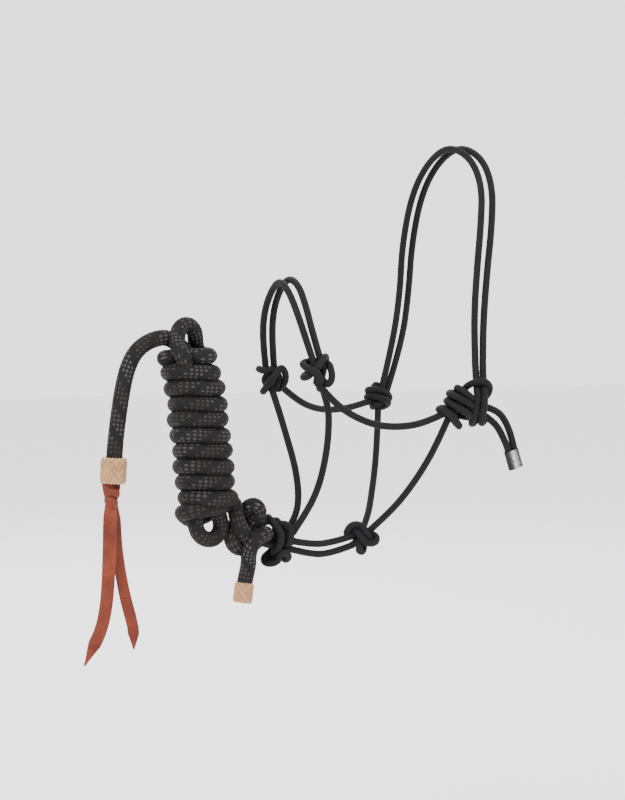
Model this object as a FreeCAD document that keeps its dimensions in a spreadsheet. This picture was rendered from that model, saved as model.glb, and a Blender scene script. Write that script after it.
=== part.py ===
"""Rope halter with its knotted-on lead rope and leather popper, in the shape it has on a horse.

Frame: +Z up, +X towards the back of the head, -Y towards the horse's near (left) side, where
the crown is tied. The origin is under the crown cords, where they lie over the poll.
All lengths are in millimetres.
"""
import FreeCAD
import Part
import Sketcher
import math
import os

Vector = FreeCAD.Vector

DIMENSIONS = [
    ("cord_dia", 6.4, "halter cord, quarter inch"),
    ("lead_dia", 14.3, "lead rope, nine sixteenths of an inch"),
    ("turn_pitch", 5.8, "a knot's turn to the next, pressed together"),
    ("turn_radius", 7.2, "middle of a halter knot's turns"),
    ("chin_turn_radius", 6.4, "middle of the chin knot's turns"),
    ("tie_turn_radius", 6.0, "middle of the crown hitch's turns"),
    ("hank_width", 53.0, "across the hank's wraps, along X"),
    ("hank_depth", 47.0, "across the hank's wraps, along Y"),
    ("hank_length", 157.0, "eleven wraps side by side"),
    ("hank_round", 13.0, "how round the wraps make the hank"),
    ("eye_radius", 10.8, "middle of the lead's turn round the chin loop"),
    ("knot_upper_radius", 12.0, "lead knot's upper turn"),
    ("knot_lower_radius", 11.0, "lead knot's lower turn"),
    ("tail_wrap_radius", 11.3, "rawhide wrap above the popper"),
    ("tail_wrap_length", 22.5, ""),
    ("stub_wrap_radius", 8.6, "rawhide wrap on the lead's short end"),
    ("stub_wrap_length", 18.0, ""),
    ("wrap_bevel", 1.2, "both wraps' rounded rims"),
    ("popper_knot_radius", 8.4, "widest part of the leather knot"),
    ("popper_knot_length", 21.5, ""),
    ("tongue_width", 10.0, ""),
    ("tongue_thick", 3.0, ""),
    ("ferrule_length", 17.0, ""),
    ("ferrule_wall", 0.8, ""),
    ("tail_spacing", 6.7, "between the crown tails in the ferrule"),
]

ARC_SHARE = 0.45      # of the shorter run, on each side of a bend
VOLUME_SLACK = 0.01   # tubes may differ this much from section times length

# Each cord's bends, from one knot to the next.
CORD_ROUTES = {
    "crown_front_cord": [
        (-34, 83, -224), (-23, 81, -180), (-18, 76, -132), (-20, 68, -88), (-18, 52, -39),
        (-13, 27, -9), (-6, 0, 4), (2, -28, -9), (1, -50, -36), (-8, -64, -70),
        (-16, -72, -107), (-23, -79, -152), (-27, -84, -196), (-28, -86, -228)],
    "crown_rear_cord": [
        (-28, 84, -227), (-13, 81, -180), (-8, 77, -130), (-9, 69, -86), (-8, 52, -40),
        (-3, 28, -10), (4, -1, 4), (12, -30, -8), (11, -52, -36), (2, -66, -73),
        (-7, -74, -112), (-14, -80, -156), (-19, -84, -199), (-20, -86, -228)],
    "noseband_front_cord": [
        (-170, 50, -199), (-175, 46, -172), (-177, 36, -147), (-177, 20, -129), (-177, 2, -120),
        (-177, -17, -130), (-176, -33, -149), (-173, -44, -171), (-167, -49, -194)],
    "noseband_rear_cord": [
        (-162, 49, -199), (-166, 45, -171), (-168, 36, -147), (-169, 20, -129), (-169, 1, -118),
        (-168, -18, -124), (-168, -34, -143), (-166, -44, -167), (-159, -49, -196)],
    "near_cheek_cord": [
        (-165, -52, -211), (-153, -58, -227), (-137, -65, -240), (-116, -73, -249),
        (-91, -79, -250), (-70, -83, -245), (-55, -85, -238)],
    "off_cheek_cord": [
        (-159, 50, -214), (-140, 55, -229), (-117, 61, -240), (-90, 70, -243),
        (-64, 78, -240), (-44, 83, -235)],
    "near_chin_cord": [
        (-160, -47, -211), (-149, -41, -231), (-145, -33, -255), (-144, -24, -281),
        (-147, -15, -308), (-155, -7, -330), (-165, -4, -345)],
    "off_chin_cord": [
        (-167, 48, -214), (-162, 40, -237), (-158, 29, -264), (-154, 19, -291),
        (-154, 11, -316), (-160, 5, -335), (-170, 4, -348)],
    "near_throat_cord": [
        (-51, -83, -243), (-57, -70, -270), (-65, -51, -298), (-73, -33, -320),
        (-82, -17, -337), (-92, -6, -350)],
    "off_throat_cord": [
        (-37, 84, -238), (-45, 70, -268), (-57, 51, -298), (-70, 32, -320),
        (-82, 15, -338), (-93, 5, -350)],
    "jaw_upper_cord": [
        (-165, -1, -356), (-147, -1, -360), (-125, 0, -359), (-105, 0, -354)],
    "jaw_lower_cord": [
        (-168, 1, -363), (-151, 1, -368), (-130, 0, -370), (-107, 0, -363)],
    "chin_loop": [
        (-176, 0, -336), (-200, 0, -336), (-200, 0, -359), (-176, 0, -359)],
    "tie_loop": [
        (-45, -88, -226), (-39, -92, -214), (-29, -95, -206), (-17, -95, -207),
        (-9, -94, -216), (-13, -92, -227), (-24, -89, -234)],
    "upper_crown_tail": [
        (-14, -87, -234), (-4, -87, -237), (4, -87, -245), (10, -87, -257),
        (14, -87, -270), (18.2, -87, -283)],
    "lower_crown_tail": [
        (-14, -87, -243), (-6, -87, -248), (1, -87, -258), (7, -87, -272), (11.4, -87, -285)],
}

LEAD_ROUTES = {
    "lead_stub": [(-208, 0, -362), (-209, 0, -376), (-213, 0, -391), (-215, 0, -406)],
    "lead_tail": [
        (-289, 0, -170), (-303, 0, -173), (-316, 0, -182), (-324, 0, -197),
        (-329, 0, -218), (-333, 0, -244), (-336, 0, -268), (-337, 0, -290)],
}

# A halter knot: how many turns, its centre, and the direction its turns are stacked in.
KNOTS = {
    "near_nose_knot": (3, (-163, -49, -203), (0.3, 0.1, 1), "turn_radius"),
    "off_nose_knot": (3, (-165, 49, -207), (0.2, -0.1, 1), "turn_radius"),
    "near_cheek_knot": (4, (-51, -85, -232), (-0.6, 0, 0.8), "turn_radius"),
    "off_cheek_knot": (3, (-38, 84, -231), (0.2, 0, 1), "turn_radius"),
    "chin_knot": (5, (-171, 0, -350), (0, 0, 1), "chin_turn_radius"),
    "throat_knot": (3, (-99, 0, -355), (1, 0, 0.4), "turn_radius"),
    "crown_hitch": (2, (-24, -88, -234), (1, 0, 0), "tie_turn_radius"),
}

HANK_MIDDLE = (-259, 0, -258)
HANK_TILT = -7.2      # degrees about Y: the top leans forward
LEAD_PIVOT = (-200, 0, -347.5)

doc = FreeCAD.newDocument("rope_halter")
sheet = doc.addObject("Spreadsheet::Sheet", "dims")
pieces = []


def fill_sheet():
    for row, (alias, value, note) in enumerate(DIMENSIONS, start=1):
        sheet.set("A%d" % row, alias)
        sheet.set("B%d" % row, str(value))
        sheet.setAlias("B%d" % row, alias)
        sheet.set("C%d" % row, note)
    doc.recompute()


def size(alias):
    return float(sheet.get(alias))


def keep(piece, label, place=None):
    """Name a finished sub-part, put it in its place and list it for export."""
    piece.Label = label
    if place is not None:
        piece.Placement = place
    pieces.append(piece)
    return piece


def placed(point, direction=(0, 0, 1)):
    turn = FreeCAD.Rotation(Vector(0, 0, 1), Vector(*direction))
    return FreeCAD.Placement(Vector(*point), turn)


# ---------------------------------------------------------------- cords

def bend(before, corner, after):
    """The tangent arc at one corner of a route: its three points and its radius."""
    into = (corner - before).normalize()
    out = (after - corner).normalize()
    reach = ARC_SHARE * min((corner - before).Length, (after - corner).Length)
    half_turn = into.getAngle(out) / 2
    radius = reach / math.tan(half_turn)
    middle = corner + (out - into).normalize() * (radius / math.cos(half_turn) - radius)
    return corner - into * reach, middle, corner + out * reach, radius


def tube_shape(points, diameter):
    """A round cord along straight runs joined by tangent arcs, starting at the first point."""
    points = [Vector(*p) - Vector(*points[0]) for p in points]
    edges = []
    radii = []
    start = points[0]
    for before, corner, after in zip(points, points[1:], points[2:]):
        first, middle, last, radius = bend(before, corner, after)
        edges.append(Part.LineSegment(start, first).toShape())
        edges.append(Part.Arc(first, middle, last).toShape())
        radii.append(radius)
        start = last
    edges.append(Part.LineSegment(start, points[-1]).toShape())
    path = Part.Wire(edges)
    section = Part.Wire(Part.makeCircle(diameter / 2, points[0], points[1] - points[0]))
    shape = path.makePipeShell([section], True, False)
    expected = math.pi * diameter ** 2 / 4 * path.Length
    if abs(shape.Volume / expected - 1) > VOLUME_SLACK:
        raise ValueError("tube volume %.0f, expected %.0f" % (shape.Volume, expected))
    return shape, path.Length, radii


def cord(label, points, dia_alias):
    piece = doc.addObject("Part::Feature", label)
    piece.Shape, length, radii = tube_shape(points, size(dia_alias))
    keep(piece, label, placed(points[0]))
    print("%-20s %5.0f mm, radii %s" % (label, length, " ".join("%.0f" % r for r in radii)))


# ---------------------------------------------------------------- knots

def knot(label, turns, middle, direction, radius_alias):
    """Turns of cord side by side round the cords that run through the knot."""
    members = []
    for index in range(turns):
        ring = doc.addObject("Part::Torus", "%s_turn%d" % (label, index + 1))
        ring.setExpression("Radius1", "dims.%s" % radius_alias)
        ring.setExpression("Radius2", "dims.cord_dia / 2")
        ring.setExpression("Placement.Base.z", "dims.turn_pitch * %g" % (index - (turns - 1) / 2))
        members.append(ring)
    core = doc.addObject("Part::Cylinder", label + "_core")
    core.setExpression("Radius", "dims.%s" % radius_alias)
    core.setExpression("Height", "dims.turn_pitch * %d" % turns)
    core.setExpression("Placement.Base.z", "-dims.turn_pitch * %d / 2" % turns)
    members.append(core)
    whole = doc.addObject("Part::MultiFuse", label)
    whole.Shapes = members
    keep(whole, label, placed(middle, direction))


def lead_knot():
    """The lead's eye round the chin loop, between the knot's upper and lower turns."""
    eye = doc.addObject("Part::Torus", "lead_eye")
    eye.setExpression("Radius1", "dims.eye_radius")
    eye.setExpression("Radius2", "dims.lead_dia / 2")
    members = [eye]
    for name, alias, place in (
        ("upper_turn", "knot_upper_radius", (-14, 0, 19.5)),
        ("lower_turn", "knot_lower_radius", (-19, 0, -7.5)),
    ):
        lump = doc.addObject("Part::Sphere", name)
        lump.setExpression("Radius", "dims.%s" % alias)
        lump.Placement = placed(place)
        members.append(lump)
    whole = doc.addObject("Part::MultiFuse", "lead_knot")
    whole.Shapes = members
    keep(whole, "lead_knot", placed(LEAD_PIVOT))


# ---------------------------------------------------------------- bodies

def origin_plane(body, role):
    return next(f for f in body.Origin.OriginFeatures if f.Role == role)


def outline(body, name, plane, corners):
    """A closed outline on an origin plane, each corner a pair of sheet expressions."""
    sketch = body.newObject("Sketcher::SketchObject", name)
    sketch.AttachmentSupport = [(origin_plane(body, plane), "")]
    sketch.MapMode = "FlatFace"
    doc.recompute()
    spots = [Vector(*[float(sketch.evalExpression(e)) for e in pair], 0) for pair in corners]
    count = len(spots)
    for index, spot in enumerate(spots):
        sketch.addGeometry(Part.LineSegment(spot, spots[(index + 1) % count]), False)
    for index in range(count):
        sketch.addConstraint(
            Sketcher.Constraint("Coincident", index, 2, (index + 1) % count, 1))
    for index, pair in enumerate(corners):
        for kind, axis, expression in zip(("DistanceX", "DistanceY"), (-2, -1), pair):
            if expression == "0":
                sketch.addConstraint(Sketcher.Constraint("PointOnObject", index, 1, axis))
                continue
            value = sketch.evalExpression(expression)
            label = "%s_%d" % (kind, index)
            number = sketch.addConstraint(
                Sketcher.Constraint(kind, -1, 1, index, 1, float(value)))
            sketch.renameConstraint(number, label)
            sketch.setExpression("Constraints." + label, expression)
    return sketch


def revolved(label, corners, place):
    """A turned piece: its half section lies in the XZ plane, to the right of the axis."""
    body = doc.addObject("PartDesign::Body", label)
    sketch = outline(body, label + "_section", "XZ_Plane", corners)
    turned = body.newObject("PartDesign::Revolution", label + "_turned")
    turned.Profile = sketch
    turned.ReferenceAxis = (sketch, ["V_Axis"])
    turned.Angle = 360
    doc.recompute()
    return keep(body, label, place)


def rawhide_wrap(label, radius_alias, length_alias, place):
    """A sleeve of rawhide lacing round the rope, its rims drawn in."""
    outer = "dims.%s" % radius_alias
    half = "dims.%s / 2" % length_alias
    rim = outer + " - dims.wrap_bevel"
    shoulder = half + " - dims.wrap_bevel"
    bore = "dims.lead_dia / 2"
    corners = [
        (bore, "-(%s)" % half), (rim, "-(%s)" % half), (outer, "-(%s)" % shoulder),
        (outer, shoulder), (rim, half), (bore, half)]
    revolved(label, corners, place)


def popper_knot():
    """The leather's own knot: a narrow neck under the rawhide and two folds below it."""
    wide = "dims.popper_knot_radius"
    tall = "dims.popper_knot_length"
    corners = [
        ("0", "-0.5 * %s" % tall), ("0.65 * %s" % wide, "-0.5 * %s" % tall),
        ("0.9 * %s" % wide, "-0.36 * %s" % tall), ("0.86 * %s" % wide, "-0.1 * %s" % tall),
        (wide, "0.02 * %s" % tall), (wide, "0.16 * %s" % tall),
        ("0.75 * %s" % wide, "0.28 * %s" % tall), ("0.8 * %s" % wide, "0.5 * %s" % tall),
        ("0", "0.5 * %s" % tall)]
    revolved("popper_knot", corners, placed((-338, 0, -307.9)))


def tongue(label, spine, tip, place):
    """A flat strap that hangs from its hinge line and ends in a slanted point."""
    body = doc.addObject("PartDesign::Body", label)
    left = [("%g - dims.tongue_width / 2" % x, "%g" % z if z else "0") for x, z in spine]
    right = [("%g + dims.tongue_width / 2" % x, "%g" % z if z else "0") for x, z in spine]
    point = [("%g" % tip[0], "%g" % tip[1])]
    sketch = outline(body, label + "_outline", "XZ_Plane", left + point + right[::-1])
    pad = body.newObject("PartDesign::Pad", label + "_pad")
    pad.Profile = sketch
    pad.setExpression("Length", "dims.tongue_thick")
    pad.Midplane = True
    doc.recompute()
    keep(body, label, place)


def tail_ferrule():
    """A flattened metal sleeve crimped over the ends of both crown tails."""
    body = doc.addObject("PartDesign::Body", "tail_ferrule")
    half_wide = "(dims.tail_spacing + dims.cord_dia) / 2 + dims.ferrule_wall"
    half_deep = "dims.cord_dia / 2 + dims.ferrule_wall"
    corners = [
        ("-(%s)" % half_wide, "-(%s)" % half_deep), (half_wide, "-(%s)" % half_deep),
        (half_wide, half_deep), ("-(%s)" % half_wide, half_deep)]
    sketch = outline(body, "ferrule_outline", "XY_Plane", corners)
    pad = body.newObject("PartDesign::Pad", "ferrule_pad")
    pad.Profile = sketch
    pad.setExpression("Length", "dims.ferrule_length")
    doc.recompute()
    upright = [
        "Edge%d" % (number + 1) for number, edge in enumerate(pad.Shape.Edges)
        if abs(edge.tangentAt(edge.FirstParameter).z) > 0.99]
    rounded = body.newObject("PartDesign::Fillet", "ferrule_round")
    rounded.Base = (pad, upright)
    rounded.setExpression("Radius", "dims.cord_dia / 2")
    doc.recompute()
    bores = body.newObject("Sketcher::SketchObject", "ferrule_bores")
    bores.AttachmentSupport = [(origin_plane(body, "XY_Plane"), "")]
    bores.MapMode = "FlatFace"
    for index, side in enumerate((-1, 1)):
        middle = Vector(side * size("tail_spacing") / 2, 0, 0)
        bores.addGeometry(Part.Circle(middle, Vector(0, 0, 1), size("cord_dia") / 2), False)
        bores.addConstraint(Sketcher.Constraint("PointOnObject", index, 3, -1))
        for kind, value, expression in (
            ("Radius", size("cord_dia") / 2, "dims.cord_dia / 2"),
            ("DistanceX", middle.x, "%d * dims.tail_spacing / 2" % side),
        ):
            target = (index, value) if kind == "Radius" else (-1, 1, index, 3, value)
            number = bores.addConstraint(Sketcher.Constraint(kind, *target))
            bores.renameConstraint(number, "%s_%d" % (kind, index))
            bores.setExpression("Constraints.%s_%d" % (kind, index), expression)
    pocket = body.newObject("PartDesign::Pocket", "ferrule_pocket")
    pocket.Profile = bores
    pocket.setExpression("Length", "dims.ferrule_length - dims.ferrule_wall * 2")
    pocket.Reversed = True
    doc.recompute()
    if pocket.Shape.Volume > rounded.Shape.Volume - 500:
        raise ValueError("the ferrule's bores cut nothing")
    keep(body, "tail_ferrule", placed((9.8, -87, -270), (0.31, 0, -0.95)))


def lead_hank():
    """The wrapped hank's outer shape, with the folds of rope that stand out of its ends."""
    body = doc.addObject("PartDesign::Body", "hank_wraps")
    half_wide = "dims.hank_width / 2"
    half_deep = "dims.hank_depth / 2"
    corners = [
        ("-" + half_wide, "-" + half_deep), (half_wide, "-" + half_deep),
        (half_wide, half_deep), ("-" + half_wide, half_deep)]
    sketch = outline(body, "hank_section", "XY_Plane", corners)
    pad = body.newObject("PartDesign::Pad", "hank_pad")
    pad.Profile = sketch
    pad.setExpression("Length", "dims.hank_length")
    pad.Midplane = True
    doc.recompute()
    rounded = body.newObject("PartDesign::Fillet", "hank_round")
    rounded.Base = (pad, ["Edge%d" % (n + 1) for n in range(len(pad.Shape.Edges))])
    rounded.setExpression("Radius", "dims.hank_round")
    doc.recompute()
    members = [body]
    for name, side in (("top_fold", 1), ("bottom_fold", -1)):
        foot = side * (size("hank_length") / 2 - 6)
        crest = side * (size("hank_length") / 2 + 16)
        wide = size("lead_dia") / 2 + 2
        points = [(-wide, 0, foot), (-wide, 0, crest), (wide, 0, crest), (wide, 0, foot)]
        fold = doc.addObject("Part::Feature", name)
        fold.Shape = tube_shape(points, size("lead_dia"))[0]
        fold.Placement = placed(points[0])
        members.append(fold)
    whole = doc.addObject("Part::MultiFuse", "lead_hank")
    whole.Shapes = members
    lean = FreeCAD.Rotation(Vector(0, 1, 0), HANK_TILT)
    keep(whole, "lead_hank", FreeCAD.Placement(Vector(*HANK_MIDDLE), lean))


def build():
    fill_sheet()
    for label, points in CORD_ROUTES.items():
        cord(label, points, "cord_dia")
    for label, points in LEAD_ROUTES.items():
        cord(label, points, "lead_dia")
    for label, (turns, middle, direction, radius_alias) in KNOTS.items():
        knot(label, turns, middle, direction, radius_alias)
    lead_knot()
    lead_hank()
    rawhide_wrap("tail_rawhide_wrap", "tail_wrap_radius", "tail_wrap_length",
                 placed((-337, 0, -286), (0.06, 0, 1)))
    rawhide_wrap("stub_rawhide_wrap", "stub_wrap_radius", "stub_wrap_length",
                 placed((-214, 0, -400), (0.13, 0, 1)))
    popper_knot()
    tongue("popper_left_tongue", [(0, 0), (-2, -29), (-3, -62), (-5, -84), (-13, -109)],
           (-28, -134), placed((-340, -2, -320.5)))
    tongue("popper_right_tongue", [(0, 0), (1, -46), (7, -76), (13, -99)],
           (16, -124), placed((-334, 2, -320.5)))
    tail_ferrule()


def check_and_write():
    doc.recompute()
    for item in doc.Objects:
        if "Invalid" in item.State or "Error" in item.State:
            raise ValueError("%s failed: %s" % (item.Label, item.State))
    os.makedirs("parts", exist_ok=True)
    for piece in pieces:
        if piece.Shape.isNull() or not piece.Shape.isValid():
            raise ValueError("%s has no valid shape" % piece.Label)
    for piece in pieces:
        piece.Shape.exportStep("parts/%s.step" % piece.Label)
        print("%-22s %9.0f mm3" % (piece.Label, piece.Shape.Volume))


build()
check_and_write()
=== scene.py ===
"""Looks of a rope halter and its knotted-on lead rope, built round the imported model.

Frame as in the CAD: +Z up, +X towards the back of the head, -Y the near (left) side.
Routes are written in millimetres and brought to metres where they are read.
"""
import math
import bpy
import numpy as np
from mathutils import Matrix, Vector


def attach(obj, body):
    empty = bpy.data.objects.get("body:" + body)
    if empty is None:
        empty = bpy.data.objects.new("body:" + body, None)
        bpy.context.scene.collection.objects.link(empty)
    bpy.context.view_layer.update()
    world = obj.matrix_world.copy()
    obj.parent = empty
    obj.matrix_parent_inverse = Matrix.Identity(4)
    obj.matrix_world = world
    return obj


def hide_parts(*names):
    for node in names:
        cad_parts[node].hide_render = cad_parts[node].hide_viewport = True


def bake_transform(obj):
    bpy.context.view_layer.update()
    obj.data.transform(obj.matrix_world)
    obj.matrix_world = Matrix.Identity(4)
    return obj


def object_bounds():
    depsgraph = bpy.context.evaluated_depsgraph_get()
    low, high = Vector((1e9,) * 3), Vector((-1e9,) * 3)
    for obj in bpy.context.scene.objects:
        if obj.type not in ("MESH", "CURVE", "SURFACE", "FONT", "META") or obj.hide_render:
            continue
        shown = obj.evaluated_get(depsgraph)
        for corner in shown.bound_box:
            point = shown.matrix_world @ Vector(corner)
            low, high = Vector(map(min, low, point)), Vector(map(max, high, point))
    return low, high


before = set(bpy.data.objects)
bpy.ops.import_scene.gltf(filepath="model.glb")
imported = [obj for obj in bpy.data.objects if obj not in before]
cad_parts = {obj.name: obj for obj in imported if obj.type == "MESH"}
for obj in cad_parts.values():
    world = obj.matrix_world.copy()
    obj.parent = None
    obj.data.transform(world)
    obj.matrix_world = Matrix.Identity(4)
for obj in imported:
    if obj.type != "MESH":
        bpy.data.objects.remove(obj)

CAD_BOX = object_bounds()
MM = 0.001
CORD = 6.4            # halter cord's diameter
LEAD = 14.3           # lead rope's diameter
CORD_STRANDS = 8      # strands of one family round the cord
LEAD_STRANDS = 12     # and round the lead rope

# ---------------------------------------------------------------- camera, floor and light

AZIMUTH = math.radians(-25)
ELEVATION = math.radians(3)
DISTANCE = 2.1
TARGET = Vector((-0.14565, 0, -0.228675))
FRAME_HEIGHT = 0.724  # what the camera sees at the target, top to bottom

RIGHT = np.array([math.cos(AZIMUTH), math.sin(AZIMUTH), 0])
NEAR = np.array([math.sin(AZIMUTH) * math.cos(ELEVATION),
                 -math.cos(AZIMUTH) * math.cos(ELEVATION), math.sin(ELEVATION)])
UP = np.cross(NEAR, RIGHT)

camera_data = bpy.data.cameras.new("camera")
camera_data.sensor_fit = "VERTICAL"
camera_data.angle = 2 * math.atan(FRAME_HEIGHT / 2 / DISTANCE)
camera = bpy.data.objects.new("camera", camera_data)
turn = Matrix((RIGHT, UP, NEAR)).transposed().to_4x4()
camera.matrix_world = Matrix.Translation(TARGET + Vector(NEAR) * DISTANCE) @ turn
bpy.context.collection.objects.link(camera)
bpy.context.scene.camera = camera


def link(name, data):
    obj = bpy.data.objects.new(name, data)
    bpy.context.collection.objects.link(obj)
    return obj


def area_light(name, place, size, power):
    data = bpy.data.lights.new(name, "AREA")
    data.shape = "DISK"
    data.size = size
    data.energy = power
    light = link(name, data)
    light.location = place
    light.rotation_euler = (TARGET - Vector(place)).to_track_quat("-Z", "Y").to_euler()


area_light("key", (-2.3, -1.5, 1.9), 1.4, 120)
area_light("fill", (1.9, -2.2, 0.9), 1.8, 40)
area_light("back", (0.4, 2.6, 1.4), 1.8, 50)

world = bpy.data.worlds.new("studio")
world.use_nodes = True
sky = world.node_tree.nodes["Background"]
sky.inputs["Color"].default_value = (1, 1, 1, 1)
sky.inputs["Strength"].default_value = 2.2
bpy.context.scene.world = world


# ---------------------------------------------------------------- materials

class Shader:
    """A principled material with short calls for the nodes that its patterns are made of."""

    def __init__(self, name, **sockets):
        self.material = bpy.data.materials.new(name)
        self.material.use_nodes = True
        self.tree = self.material.node_tree
        self.surface = self.tree.nodes["Principled BSDF"]
        for socket, value in sockets.items():
            self.surface.inputs[socket.replace("_", " ")].default_value = value

    def node(self, kind, inputs=(), **settings):
        made = self.tree.nodes.new("ShaderNode" + kind)
        for key, value in settings.items():
            setattr(made, key, value)
        for socket, value in dict(inputs).items():
            self.feed(made.inputs[socket], value)
        return made

    def feed(self, socket, value):
        if isinstance(value, bpy.types.NodeSocket):
            self.tree.links.new(value, socket)
        else:
            socket.default_value = value

    def math(self, operation, *values):
        made = self.node("Math", operation=operation)
        for socket, value in zip(made.inputs, values):
            self.feed(socket, value)
        return made.outputs[0]

    def noise(self, scale, detail, rough):
        vector = self.node("TexCoord").outputs["Object"]
        made = self.node("TexNoise", {"Vector": vector, "Scale": scale, "Detail": detail,
                                      "Roughness": rough})
        return made.outputs["Fac"]

    def remap(self, value, low, high, to_low=0.0, to_high=1.0):
        made = self.node("MapRange", {"Value": value, "From Min": low, "From Max": high,
                                      "To Min": to_low, "To Max": to_high})
        return made.outputs["Result"]

    def mix(self, share, one, other):
        made = self.node("Mix", data_type="RGBA")
        for socket, value in zip((made.inputs[0], made.inputs[6], made.inputs[7]),
                                 (share, one, other)):
            self.feed(socket, value)
        return made.outputs[2]

    def finish(self, colour, rough, height, depth, strength):
        self.feed(self.surface.inputs["Base Color"], colour)
        self.feed(self.surface.inputs["Roughness"], rough)
        bump = self.node("Bump", {"Height": height, "Distance": depth, "Strength": strength})
        self.feed(self.surface.inputs["Normal"], bump.outputs["Normal"])
        return self.material


def braid_material(name, base, pale, yarns, tracer=None, marked_strands=()):
    """Braided rope: the UV map counts strands, U along one family's number and V the other's.

    A tracer's two tones show as short dots on the marked strands of the first family. The colour
    follows the relief: painted shade in the grooves between strands and yarns, pale on the crowns,
    with random blotches.
    """
    s = Shader(name, Specular_IOR_Level=0.12, Sheen_Weight=0.02, Sheen_Roughness=0.4)
    uv = s.node("SeparateXYZ", {"Vector": s.node("UVMap").outputs["UV"]})
    across = [uv.outputs["X"], uv.outputs["Y"]]
    count = [s.math("FLOOR", x) for x in across]
    within = [s.math("FRACT", x) for x in across]
    parity = s.math("PINGPONG", s.math("ADD", *count), 1.0)

    def top(first, second):
        share = s.node("Mix", data_type="FLOAT")
        for socket, value in zip(share.inputs[:1] + share.inputs[2:4], (parity, first, second)):
            s.feed(socket, value)
        return share.outputs[0]

    place = top(*within)
    crown = s.math("SINE", s.math("MULTIPLY", place, math.pi))
    lines = s.math("SINE", s.math("MULTIPLY", place, 2 * math.pi * yarns))
    fibres = s.noise(2600.0, 2, 0.7)
    blotch = s.noise(45.0, 4, 0.6)
    lift = s.math("ADD", s.math("MULTIPLY", crown, 0.75),
                  s.math("ADD", s.math("MULTIPLY", lines, 0.12),
                         s.math("MULTIPLY", fibres, 0.28)))
    # painted shade: the colour darkens with the relief, into the grooves between strands and yarns,
    # times random blotches
    tone = s.math("MULTIPLY", s.remap(lift, 0.15, 1.1), s.remap(blotch, 0.25, 0.8, 0.45, 1.0))
    colour = s.mix(tone, base, pale)
    if tracer:
        carrier = s.math("FLOORED_MODULO", count[0], float(LEAD_STRANDS))
        marked = 0.0
        for index in marked_strands:
            marked = s.math("ADD", marked, s.math("COMPARE", carrier, float(index), 0.25))
        shown = top(marked, 0.0)
        shade = s.mix(s.remap(s.noise(30.0, 2, 0.5), 0.40, 0.62), *tracer)
        length = s.math("SINE", s.math("MULTIPLY", top(*within[::-1]), math.pi))
        share = s.math("MULTIPLY", s.math("MULTIPLY", shown, s.remap(length, 0.1, 0.45)),
                       s.remap(crown, 0.2, 0.65, 0.1, 0.95))
        colour = s.mix(share, colour, shade)
    rough = s.remap(fibres, 0.2, 0.8, 0.55, 0.8)
    return s.finish(colour, rough, lift, 0.0004, 0.6)


def rawhide_material():
    s = Shader("rawhide", Specular_IOR_Level=0.3, Subsurface_Weight=0.1,
               Subsurface_Scale=0.002, Coat_Weight=0.06, Coat_Roughness=0.35)
    cloud = s.noise(160.0, 5, 0.62)
    grain = s.noise(1900.0, 3, 0.7)
    edge = s.node("NewGeometry").outputs["Pointiness"]
    skin = s.mix(s.remap(cloud, 0.3, 0.7), (0.20, 0.085, 0.028, 1), (0.34, 0.18, 0.075, 1))
    # paler on the laces' raised crests
    paler_on_crests = s.mix(s.remap(edge, 0.50, 0.58), skin, (0.46, 0.31, 0.17, 1))
    # painted shade: darker in the hollows between the laces
    hollow_shade = s.mix(s.remap(edge, 0.495, 0.43), paler_on_crests, (0.13, 0.055, 0.022, 1))
    return s.finish(hollow_shade, s.remap(grain, 0.2, 0.8, 0.42, 0.62), grain, 0.0002, 0.5)


def leather_material(name, dark, light, edge_tone):
    """Oiled latigo strap: grained face, paler cut edge where the material slot is the second."""
    s = Shader(name, Specular_IOR_Level=0.22, Sheen_Weight=0.02, Coat_Weight=0.03,
               Coat_Roughness=0.4)
    cloud = s.noise(55.0, 5, 0.62)
    pores = s.node("TexVoronoi", {"Vector": s.node("TexCoord").outputs["Object"],
                                  "Scale": 1300.0})
    grain = s.noise(700.0, 4, 0.7)
    skin = s.mix(s.remap(cloud, 0.3, 0.72), dark, light)
    scuff = s.mix(s.remap(s.noise(260.0, 6, 0.75), 0.60, 0.78, 0, 0.35), skin, edge_tone)
    height = s.math("ADD", s.math("MULTIPLY", pores.outputs["Distance"], 0.5), grain)
    return s.finish(scuff, s.remap(grain, 0.25, 0.75, 0.42, 0.66), height, 0.00025, 0.55)


def metal_material():
    """Drawn nickel: a painted reflection, bright on its broad faces and dark at its edges, broken
    up by streaks along the sleeve.
    """
    s = Shader("ferrule_nickel", Metallic=1.0)
    round_ = s.node("SeparateXYZ", {"Vector": s.node("UVMap").outputs["UV"]}).outputs["X"]
    face = s.math("ABSOLUTE", s.math("SINE", s.math("MULTIPLY", round_, 2 * math.pi)))
    streak = s.node("TexNoise", {"Vector": s.node("CombineXYZ", {"X": round_}).outputs[0],
                                 "Scale": 34.0, "Detail": 4.0, "Roughness": 0.6}).outputs["Fac"]
    smear = s.noise(160.0, 4, 0.6)
    # painted reflection: the colour is bright on the broad faces and dark at the edges
    painted_reflection = s.math("MULTIPLY", s.math("POWER", face, 14.0), s.remap(streak, 0.38, 0.58, 0.15, 1.0))
    colour = s.mix(painted_reflection, (0.022, 0.022, 0.024, 1), (0.42, 0.42, 0.43, 1))
    return s.finish(colour, s.remap(smear, 0.25, 0.8, 0.16, 0.32), s.noise(900.0, 5, 0.7),
                    0.00006, 0.35)


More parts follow.
